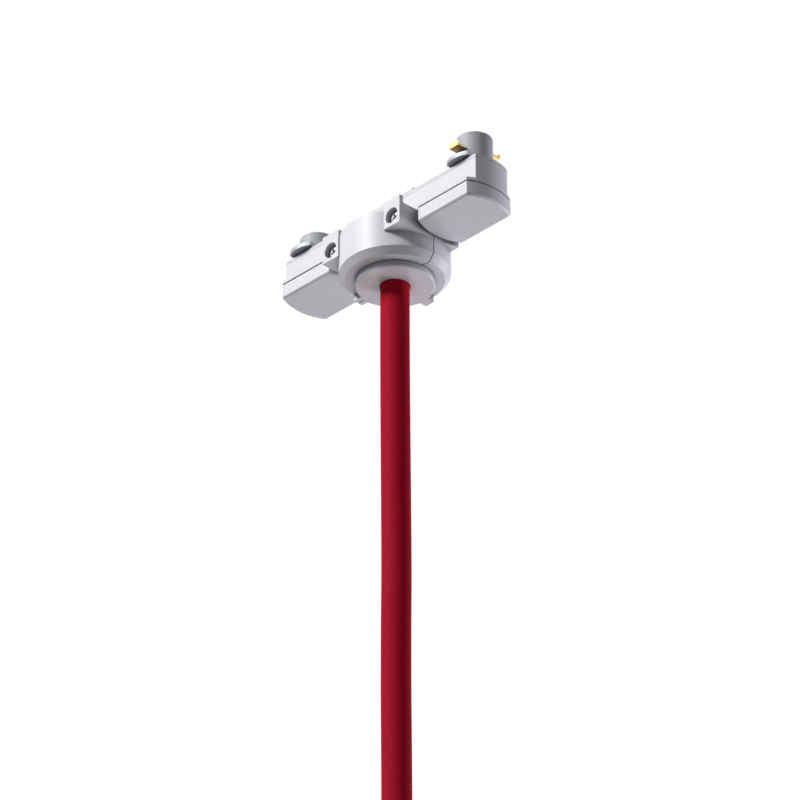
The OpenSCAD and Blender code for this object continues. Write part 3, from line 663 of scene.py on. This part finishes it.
def thread_tree():
    """Hollow nipple: a plain shank above the point and a threaded end below it."""
    tree, inputs, output = new_tree(
        "Threaded nipple", Thread_radius="Float", Thread_length="Float", Pitch="Float",
        Shank_radius="Float", Shank_length="Float", Bore_radius="Float", Turn="Rotation",
        Material="Material")
    thread, pitch = inputs["Thread length"], inputs["Pitch"]
    ridge = add(tree, MATH, (pitch, RIDGE), operation="MULTIPLY")
    root = add(tree, MATH, (inputs["Thread radius"], ridge), operation="SUBTRACT")
    core = add(tree, BOOLEAN, operation="UNION", solver="EXACT")
    rods = ((root, thread, -0.5), (inputs["Shank radius"], inputs["Shank length"], 0.5))
    for radius, length, side in rods:
        rod = add(tree, "GeometryNodeMeshCylinder", {
            "Vertices": NIPPLE_SIDES, "Radius": radius, "Depth": length})
        shift = add(tree, MATH, (length, side), operation="MULTIPLY")
        moved = add(tree, "GeometryNodeTransform", {
            "Geometry": rod, "Translation": add(tree, XYZ, {2: shift})})
        tree.links.new(moved.outputs["Geometry"], core.inputs["Mesh 2"])
    hole = add(tree, "GeometryNodeMeshCylinder", {
        "Vertices": ROUND_SIDES, "Radius": inputs["Bore radius"],
        "Depth": add(tree, MATH, (thread, 4.0), operation="MULTIPLY")})
    tube = add(tree, BOOLEAN, {"Mesh 1": core, "Mesh 2": hole}, operation="DIFFERENCE", solver="EXACT")
    climb = add(tree, MATH, (thread, pitch), operation="SUBTRACT")
    helix = add(tree, "GeometryNodeCurveSpiral", {
        "Resolution": ROUND_SIDES, "Rotations": add(tree, MATH, (climb, pitch), operation="DIVIDE"),
        "Start Radius": root, "End Radius": root, "Height": climb})
    profile = add(tree, "GeometryNodeCurvePrimitiveCircle", {
        "Resolution": RIDGE_SIDES, "Radius": ridge}, mode="RADIUS")
    coil = add(tree, "GeometryNodeCurveToMesh", {
        "Curve": helix, "Profile Curve": profile, "Fill Caps": True})
    half = add(tree, MATH, (pitch, 0.5), operation="MULTIPLY")
    low = add(tree, MATH, (half, thread), operation="SUBTRACT")
    wound = add(tree, "GeometryNodeTransform", {"Geometry": coil, "Translation": add(tree, XYZ, {2: low})})
    whole = add(tree, "GeometryNodeJoinGeometry", {"Geometry": tube})
    tree.links.new(wound.outputs["Geometry"], whole.inputs["Geometry"])
    place_copies(tree, inputs, output, smooth_but_sharp(tree, whole, degrees=40))
    return tree


def view_axes(azimuth, elevation):
    """Vectors from the object to the camera, to the picture's right and up."""
    level = math.cos(elevation)
    back = Vector((math.sin(azimuth) * level, -math.cos(azimuth) * level, math.sin(elevation)))
    right = Vector((math.cos(azimuth), math.sin(azimuth), 0))
    return back, right, back.cross(right)


def aim(thing, place, target):
    """Puts a camera or a lamp at a place and points it at a target."""
    thing.location = place
    thing.rotation_mode = "QUATERNION"
    thing.rotation_quaternion = (Vector(target) - Vector(place)).to_track_quat("-Z", "Y")


def seen_rays(tree):
    """1 for what the eye sees, directly, mirrored or through glass, and 0 for light on the object."""
    rays = add(tree, "ShaderNodeLightPath").outputs
    direct = add(tree, MATH, (rays["Is Camera Ray"], rays["Is Glossy Ray"]), operation="MAXIMUM")
    return add(tree, MATH, (direct, rays["Is Transmission Ray"]), operation="MAXIMUM")


class ADAPTER_OT_stage(bpy.types.Operator):
    """Camera, lamps, pale floor and white surroundings"""

    bl_idname = "adapter.stage"
    bl_label = "Stage"

    # Round soft lamps: where each stands, its diameter in metres, its power and its colour
    LAMPS = (
        ("key", (-1.3, -2.1, 1.95), 0.9, 24, "FFFFFF"),
        ("front", (-0.5, -2.52, 1.6), 0.9, 74, "FFFFFF"),
        ("side", (1.05, 2.72, -0.62), 1.4, 57, "F4F4FF"),
        ("rear", (-1.7, 2.03, -1.41), 1.0, 8.5, "F3F3FF"),
    )
    # Where the middle of the cap's lower face lies in the photograph, and in the part
    CAP_PX = (394.974, 287.016)
    CAP_PLACE = Vector((0, 0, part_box("cord_cap")[0].z))
    SENSOR = 36
    # Strength of the surroundings as light on the object
    DIM = 0.03
    # Half the floor's side in metres, and the distances, over its depth, at which it fades to white
    FLOOR_HALF = 2.6
    FADE_FROM = 1.02
    FADE_TO = 1.35

    def execute(self, context):
        scene = context.scene
        scene.view_settings.view_transform = "Standard"
        self.make_camera(scene, scene.adapter_stage)
        self.make_world(scene)
        for name, place, width, power, colour in self.LAMPS:
            self.make_lamp(scene, name, place, width, power, colour)
        self.make_floor(scene.adapter_stage)
        return {"FINISHED"}

    def make_camera(self, scene, stage):
        back, right, up = view_axes(stage.azimuth, stage.elevation)
        shift = [(PHOTO_PX / 2 - p) / stage.px_per_mm * MM for p in self.CAP_PX]
        camera = bpy.data.objects.new("camera", bpy.data.cameras.new("camera"))
        scene.collection.objects.link(camera)
        middle = self.CAP_PLACE + right * shift[0] - up * shift[1]
        aim(camera, self.CAP_PLACE + back * stage.distance, middle)
        camera.data.sensor_width = self.SENSOR
        camera.data.lens = stage.px_per_mm / MM * stage.distance / PHOTO_PX * self.SENSOR
        camera.data.clip_start = 0.05
        scene.camera = camera

    def make_world(self, scene):
        world = bpy.data.worlds.new("studio")
        world.use_nodes = True
        scene.world = world
        tree = world.node_tree
        tree.nodes.clear()
        dim = add(tree, "ShaderNodeBackground", {"Color": tone(linear("F4F5FF")), "Strength": self.DIM})
        white = add(tree, "ShaderNodeBackground", {"Color": (1.0, 1.0, 1.0, 1.0), "Strength": 1.0})
        both = add(tree, "ShaderNodeMixShader", (seen_rays(tree), dim, white))
        add(tree, "ShaderNodeOutputWorld", {"Surface": both})

    def make_lamp(self, scene, name, place, width, power, colour):
        lamp = bpy.data.lights.new(name, "AREA")
        lamp.shape = "DISK"
        lamp.size = width
        lamp.energy = power
        lamp.color = linear(colour)
        holder = bpy.data.objects.new(name, lamp)
        scene.collection.objects.link(holder)
        holder.visible_camera = False
        aim(holder, place, self.CAP_PLACE)

    def make_floor(self, stage):
        mesh = bpy.data.meshes.new("floor")
        corners = [
            (x * self.FLOOR_HALF, y * self.FLOOR_HALF, -stage.floor_depth)
            for x, y in ((-1, -1), (1, -1), (1, 1), (-1, 1))]
        mesh.from_pydata(corners, [], [(0, 1, 2, 3)])
        # Pale matt paint on the studio's floor, which runs out into the white away from the middle
        material, tree, principled, place = shader("Matt floor paint", Roughness=0.9)
        cloud = add(tree, "ShaderNodeTexNoise", {"Vector": place, "Scale": per(900)})
        shade = add(tree, "ShaderNodeMix", {
            0: cloud.outputs["Fac"], 6: tone(linear("F2F2F2")), 7: tone(linear("EDEDED"))},
            data_type="RGBA")
        tree.links.new(shade.outputs[2], principled.inputs["Base Color"])
        away = add(tree, "ShaderNodeVectorMath", (place,), operation="LENGTH")
        fade = add(tree, "ShaderNodeMapRange", {
            "Value": away.outputs["Value"], "From Min": self.FADE_FROM * stage.floor_depth,
            "From Max": self.FADE_TO * stage.floor_depth}, interpolation_type="SMOOTHSTEP")
        faded = add(tree, MATH, (seen_rays(tree), fade), operation="MULTIPLY")
        white = add(tree, "ShaderNodeEmission")
        whole = add(tree, "ShaderNodeMixShader", (faded, principled, white))
        tree.links.new(whole.outputs["Shader"], tree.nodes["Material Output"].inputs["Surface"])
        floor = link("floor", mesh)
        floor.data.materials.append(material)


class ADAPTER_OT_cord(bpy.types.Operator):
    """Braided cord from the grip to the lamp end, with the sleeve, nipple and set screw on it"""

    bl_idname = "adapter.cord"
    bl_label = "Cord and lamp end"

    # Sides of the cord's tube and the length of its steps, fine enough to carry the yarns
    SIDES = 120
    STEP = 0.4 * MM
    # Diameters of the nipple's shank and bore
    NIPPLE_SHANK = 9.0 * MM
    NIPPLE_BORE = 7.0 * MM

    def execute(self, context):
        sizes = context.scene.adapter_sizes
        steps = [(i, i + 1) for i in range(len(CORD_ROUTE) - 1)]
        cord = grown(
            "braided_cord", braid_tree(), CORD_ROUTE, steps,
            Radius=sizes.cord_diameter / 2, Relief=sizes.braid_relief, Yarns=sizes.braid_yarns,
            Spacing=sizes.braid_pitch, Sides=self.SIDES, Step=self.STEP, Material=finish_of("cord"))
        stand_for(cord, "cord")
        sleeve = rounded("end_sleeve", sizes.housing_edge)
        nipple = self.make_nipple(sizes)
        paint("end_screw")
        return {"FINISHED"}

    def make_nipple(self, sizes):
        low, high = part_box("end_nipple")
        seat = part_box("end_sleeve")[0].z
        middle = (low + high) / 2
        nipple = grown(
            "threaded_nipple", thread_tree(), [(middle.x, middle.y, seat)],
            Thread_radius=(high.x - low.x) / 2, Thread_length=seat - low.z, Pitch=sizes.thread_pitch,
            Shank_radius=self.NIPPLE_SHANK / 2, Shank_length=high.z - seat,
            Bore_radius=self.NIPPLE_BORE / 2, Turn=(0, 0, 0), Material=finish_of("end_nipple"))
        return stand_for(nipple, "end_nipple")


class ADAPTER_OT_collar(bpy.types.Operator):
    """Two halves of the clamp collar and the cap that turns in it"""

    bl_idname = "adapter.collar"
    bl_label = "Collar and cap"

    def execute(self, context):
        width = context.scene.adapter_sizes.housing_edge
        for node in ("collar_front", "collar_rear", "cord_cap"):
            rounded(node, width)
        paint("cord_grip")
        return {"FINISHED"}


class ADAPTER_OT_body(bpy.types.Operator):
    """Long body with its lid, washers, terminals, leads and earth wipers"""

    bl_idname = "adapter.body"
    bl_label = "Body"

    def execute(self, context):
        sizes = context.scene.adapter_sizes
        for node in ("body_shell", "body_cover"):
            rounded(node, sizes.housing_edge)
        rounded("earth_contacts", sizes.fine_edge, segments=2)
        paint("lever_washers", "terminal_block", "terminal_screws", "line_strip", "neutral_strip",
              "line_lead", "neutral_lead", "earth_lead")
        return {"FINISHED"}


class ADAPTER_OT_levers(bpy.types.Operator):
    """Levers under the arms, with the heads, cams and contact blades that turn with them"""

    bl_idname = "adapter.levers"
    bl_label = "Levers and heads"

    def execute(self, context):
        sizes = context.scene.adapter_sizes
        for node in ("lever_left", "lever_right"):
            rounded(node, sizes.housing_edge)
        for node in ("rotor_left", "rotor_right", "lock_cam_left", "lock_cam_right",
                     "line_contact", "neutral_contact"):
            rounded(node, sizes.fine_edge, segments=2)
        return {"FINISHED"}


class ADAPTER_OT_fasteners(bpy.types.Operator):
    """Cross-recess screws and hexagon nuts"""

    bl_idname = "adapter.fasteners"
    bl_label = "Screws and nuts"

    # Heights of the heads; a collar screw's crown stands a little above the head of its solid
    COLLAR_HEAD_H = 2.6 * MM
    COLLAR_CROWN_H = 3.1 * MM
    COVER_HEAD_H = 1.6 * MM
    ROTOR_HEAD_H = 2.0 * MM
    # Diameters of a rotor screw's head and of the shanks, and the nuts' play on the collar screws
    ROTOR_HEAD = 5.6 * MM
    COLLAR_SHANK = 4.0 * MM
    COVER_SHANK = 2.5 * MM
    ROTOR_SHANK = 3.0 * MM
    NUT_PLAY = 0.05 * MM
    # Turns of the heads away from +Z
    TO_FRONT = (math.pi / 2, 0, 0)
    TO_REAR = (-math.pi / 2, 0, 0)
    UP = (0, 0, 0)

    def execute(self, context):
        sizes = context.scene.adapter_sizes
        tree = screw_tree()
        low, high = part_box("collar_screws")
        x, z = high.x - sizes.collar_head / 2, (low.z + high.z) / 2
        seat = low.y + self.COLLAR_HEAD_H
        self.make_screws(
            tree, "collar_cross_screws", "collar_screws", [(-x, seat, z), (x, seat, z)],
            head=sizes.collar_head, height=self.COLLAR_CROWN_H, shank=self.COLLAR_SHANK,
            length=high.y - seat, turn=self.TO_FRONT, recess=math.radians(20))
        low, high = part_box("cover_screws")
        x, seat = high.x - sizes.cover_head / 2, high.z - self.COVER_HEAD_H
        self.make_screws(
            tree, "cover_cross_screws", "cover_screws", [(-x, 0, seat), (x, 0, seat)],
            head=sizes.cover_head, height=self.COVER_HEAD_H, shank=self.COVER_SHANK,
            length=seat - low.z, turn=self.UP, recess=math.radians(35))
        for side, recess in (("left", 10), ("right", 62)):
            node = "rotor_screw_" + side
            low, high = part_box(node)
            seat = high.z - self.ROTOR_HEAD_H
            self.make_screws(
                tree, "rotor_cross_screw_" + side, node, [((low.x + high.x) / 2, 0, seat)],
                head=self.ROTOR_HEAD, height=self.ROTOR_HEAD_H, shank=self.ROTOR_SHANK,
                length=seat - low.z, turn=self.UP, recess=math.radians(recess))
        self.make_nuts()
        return {"FINISHED"}

    def make_screws(self, tree, name, node, points, head, height, shank, length, turn, recess):
        screws = grown(
            name, tree, points, Head_radius=head / 2, Head_height=height, Shank_radius=shank / 2,
            Shank_length=length, Turn=turn, Recess_turn=recess, Material=finish_of(node))
        stand_for(screws, node)

    def make_nuts(self):
        low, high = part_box("collar_nuts")
        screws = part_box("collar_screws")
        z = (screws[0].z + screws[1].z) / 2
        flats = high.z - low.z
        corner = flats / math.sqrt(3)
        x = high.x - corner
        nuts = grown(
            "collar_hex_nuts", nut_tree(), [(-x, low.y, z), (x, low.y, z)], Corner_radius=corner,
            Height=high.y - low.y, Bore_radius=self.COLLAR_SHANK / 2 + self.NUT_PLAY, Turn=self.TO_REAR,
            Material=finish_of("collar_nuts"))
        stand_for(nuts, "collar_nuts")


OPERATORS = (
    ADAPTER_OT_stage,
    ADAPTER_OT_cord,
    ADAPTER_OT_collar,
    ADAPTER_OT_body,
    ADAPTER_OT_levers,
    ADAPTER_OT_fasteners,
)


class ADAPTER_PT_sidebar(bpy.types.Panel):
    """Sizes, colours and steps of the track light adapter"""

    bl_label = "Track light adapter"
    bl_space_type = "VIEW_3D"
    bl_region_type = "UI"
    bl_category = "Adapter"

    def draw(self, context):
        layout = self.layout
        scene = context.scene
        for group in (scene.adapter_finish, scene.adapter_sizes, scene.adapter_stage):
            box = layout.box()
            for name in group.__annotations__:
                box.prop(group, name)
        for step in OPERATORS:
            layout.operator(step.bl_idname)


GROUPS = (AdapterFinish, AdapterSizes, AdapterStage)
CLASSES = GROUPS + OPERATORS + (ADAPTER_PT_sidebar,)


def register():
    for kind in CLASSES:
        bpy.utils.register_class(kind)
    bpy.types.Scene.adapter_finish = PointerProperty(type=AdapterFinish)
    bpy.types.Scene.adapter_sizes = PointerProperty(type=AdapterSizes)
    bpy.types.Scene.adapter_stage = PointerProperty(type=AdapterStage)


def unregister():
    for name in ("adapter_finish", "adapter_sizes", "adapter_stage"):
        delattr(bpy.types.Scene, name)
    for kind in reversed(CLASSES):
        bpy.utils.unregister_class(kind)


def main():
    register()
    bpy.ops.adapter.stage()
    bpy.ops.adapter.cord()
    bpy.ops.adapter.collar()
    bpy.ops.adapter.body()
    bpy.ops.adapter.levers()
    bpy.ops.adapter.fasteners()


if __name__ == "__main__":
    main()
